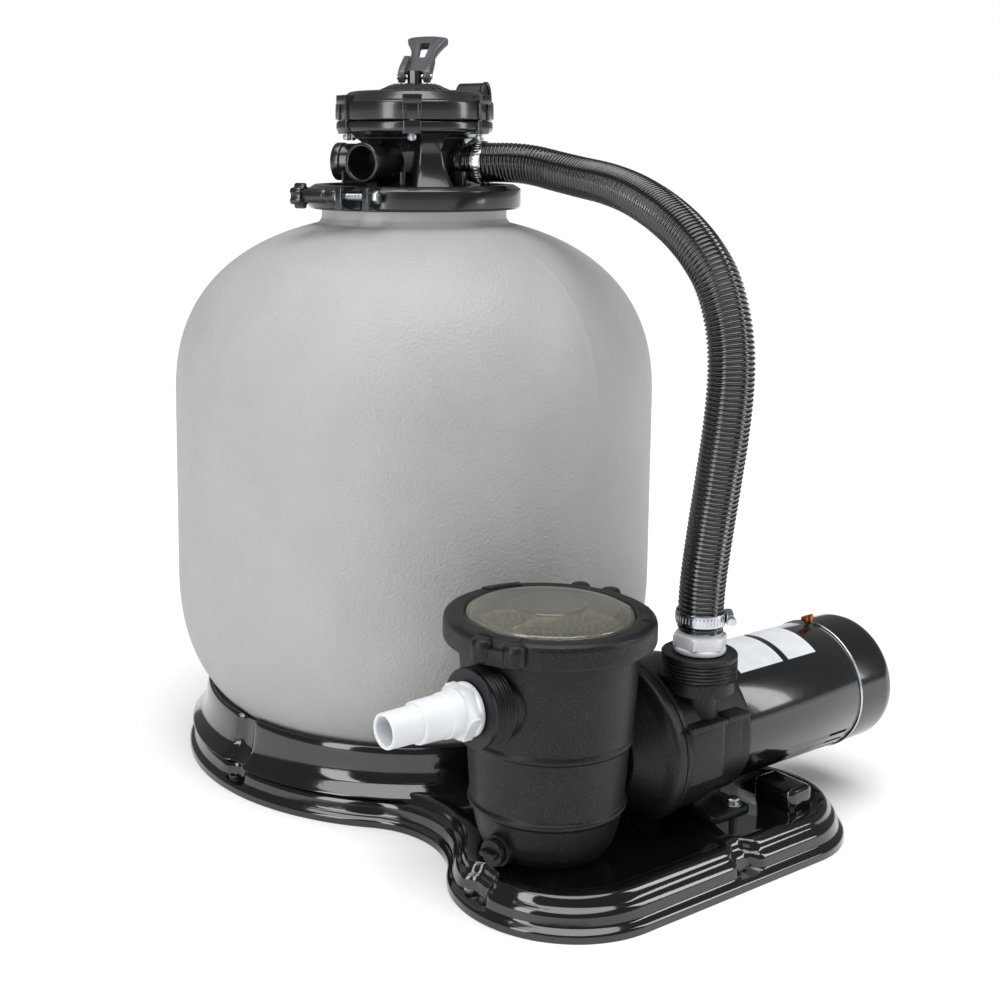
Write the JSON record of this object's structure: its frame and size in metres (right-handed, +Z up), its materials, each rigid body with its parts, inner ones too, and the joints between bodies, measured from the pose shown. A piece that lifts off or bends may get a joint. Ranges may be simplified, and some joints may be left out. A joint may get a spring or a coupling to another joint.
{
  "type": "sand filter system",
  "caption": "Round sand filter tank with a top-mounted selector valve, joined by a ribbed hose to a strainer pump, all on one moulded base.",
  "frame": {"origin": "centre of the tank on the floor, under the base", "axes": "+Z up along the tank's axis, +X along the pump shaft towards the motor, -Y towards the pump"},
  "size_m": [0.6653, 0.804, 0.8607],
  "materials": {
    "tank_resin": "fine orange peel",
    "base_sheet": "high gloss",
    "pump_moulding": "fine sparkle grain",
    "valve_moulding": "satin",
    "handle_grey": "satin",
    "white_pipe": "satin",
    "inner_pipe": "satin",
    "basket_cream": "satin",
    "impeller_resin": "satin",
    "lid_smoked": "clear smoked",
    "seal_rubber": "matte",
    "zinc_steel": "bright",
    "lug_copper": "satin",
    "motor_paint": "gloss",
    "motor_iron": "rough",
    "hose_vinyl": "gloss",
    "blank_label": "satin"
  },
  "bodies": {
    "plant": {"tank_shell": "tank_resin", "base_platform": "base_sheet", "strainer_housing": "pump_moulding", "volute_housing": "pump_moulding", "motor_bracket": "pump_moulding", "pressure_gauge": "pump_moulding", "valve_body": "valve_moulding", "valve_cover": "valve_moulding", "clamp_half_front": "valve_moulding", "clamp_half_rear": "valve_moulding", "inlet_adapter": "white_pipe", "outlet_adapter": "white_pipe", "standpipe": "inner_pipe", "lateral_hub": "inner_pipe", "top_diffuser": "inner_pipe", "lateral_1": "inner_pipe", "lateral_2": "inner_pipe", "lateral_3": "inner_pipe", "lateral_4": "inner_pipe", "lateral_5": "inner_pipe", "lateral_6": "inner_pipe", "neck_seal": "seal_rubber", "valve_gasket": "seal_rubber", "cover_seal": "seal_rubber", "shaft_seal": "seal_rubber", "clamp_bolt": "zinc_steel", "clamp_rear_bolt": "zinc_steel", "stem_spring": "zinc_steel", "hose_clamp_valve": "zinc_steel", "hose_clamp_pump": "zinc_steel", "foot_bolt_1": "zinc_steel", "foot_bolt_2": "zinc_steel", "motor_band": "zinc_steel", "cover_screw_1": "zinc_steel", "cover_screw_2": "zinc_steel", "cover_screw_3": "zinc_steel", "cover_screw_4": "zinc_steel", "cover_screw_5": "zinc_steel", "cover_screw_6": "zinc_steel", "ground_lug": "lug_copper", "motor_shell": "motor_paint", "motor_end_cap": "motor_paint", "motor_stator": "motor_iron", "transfer_hose": "hose_vinyl", "label_plate_front": "blank_label", "label_plate_rear": "blank_label"},
    "stem": {"stem_washer": "white_pipe"},
    "rotor": {"valve_rotor": "valve_moulding"},
    "handle": {"valve_handle": "handle_grey", "handle_pin": "zinc_steel"},
    "knob_thrust": {"clamp_knob_washer": "zinc_steel"},
    "knob": {"clamp_knob": "valve_moulding"},
    "plug_thrust": {"drain_plug_seal": "seal_rubber"},
    "plug": {"drain_plug": "pump_moulding"},
    "lid": {"clear_lid": "lid_smoked", "lid_seal": "seal_rubber"},
    "ring": {"lock_ring": "pump_moulding"},
    "basket": {"strainer_basket": "basket_cream"},
    "shaft": {"rotor_shaft": "motor_iron", "impeller": "impeller_resin"}
  },
  "joints": [
    {"name": "rotor_lift", "type": "slide", "parent": "plant", "child": "stem", "axis": [0, 0, 1], "range_m": [0, 0.003], "stiffness_N_per_m": 5000, "springref_m": -0.01, "deforming": ["stem_spring"]},
    {"name": "valve_index", "type": "hinge", "parent": "stem", "child": "rotor", "pos_m": [0, 0, 0.75], "axis": [0, 0, 1], "continuous": true},
    {"name": "handle_tilt", "type": "hinge", "parent": "rotor", "child": "handle", "pos_m": [0, 0, 0.803], "axis": [-0.6947, 0.7193, 0], "range_deg": [0, 16]},
    {"name": "knob_travel", "type": "slide", "parent": "plant", "child": "knob_thrust", "axis": [-0.4384, 0.8988, 0], "range_m": [0, 0.00376]},
    {"name": "knob_turn", "type": "hinge", "parent": "knob_thrust", "child": "knob", "pos_m": [-0.12314, -0.06006, 0.667], "axis": [-0.4384, 0.8988, 0], "range_deg": [0, 1080]},
    {"name": "plug_travel", "type": "slide", "parent": "plant", "child": "plug_thrust", "axis": [-0.9848, -0.1736, 0], "range_m": [0, 0.0105]},
    {"name": "plug_turn", "type": "hinge", "parent": "plug_thrust", "child": "plug", "pos_m": [-0.19285, -0.4002, 0.056], "axis": [-0.9848, -0.1736, 0], "range_deg": [0, 1800]},
    {"name": "lid_lift", "type": "slide", "parent": "plant", "child": "lid", "axis": [0, 0, 1], "range_m": [0, 0.26]},
    {"name": "ring_turn", "type": "hinge", "parent": "lid", "child": "ring", "pos_m": [-0.118, -0.387, 0.26], "axis": [0, 0, 1], "range_deg": [0, 90]},
    {"name": "basket_lift", "type": "slide", "parent": "plant", "child": "basket", "axis": [0, 0, 1], "range_m": [0, 0.236]},
    {"name": "motor_spin", "type": "hinge", "parent": "plant", "child": "shaft", "pos_m": [0, -0.387, 0.121], "axis": [1, 0, 0], "continuous": true}
  ],
  "couplings": [
    {"joint": "rotor_lift", "follows": "handle_tilt", "m_per_rad": 0.01074},
    {"joint": "knob_travel", "follows": "knob_turn", "m_per_rad": 0.000199},
    {"joint": "plug_travel", "follows": "plug_turn", "m_per_rad": 0.0003183},
    {"joint": "basket_lift", "follows": "lid_lift", "ratio": 0.9}
  ]
}
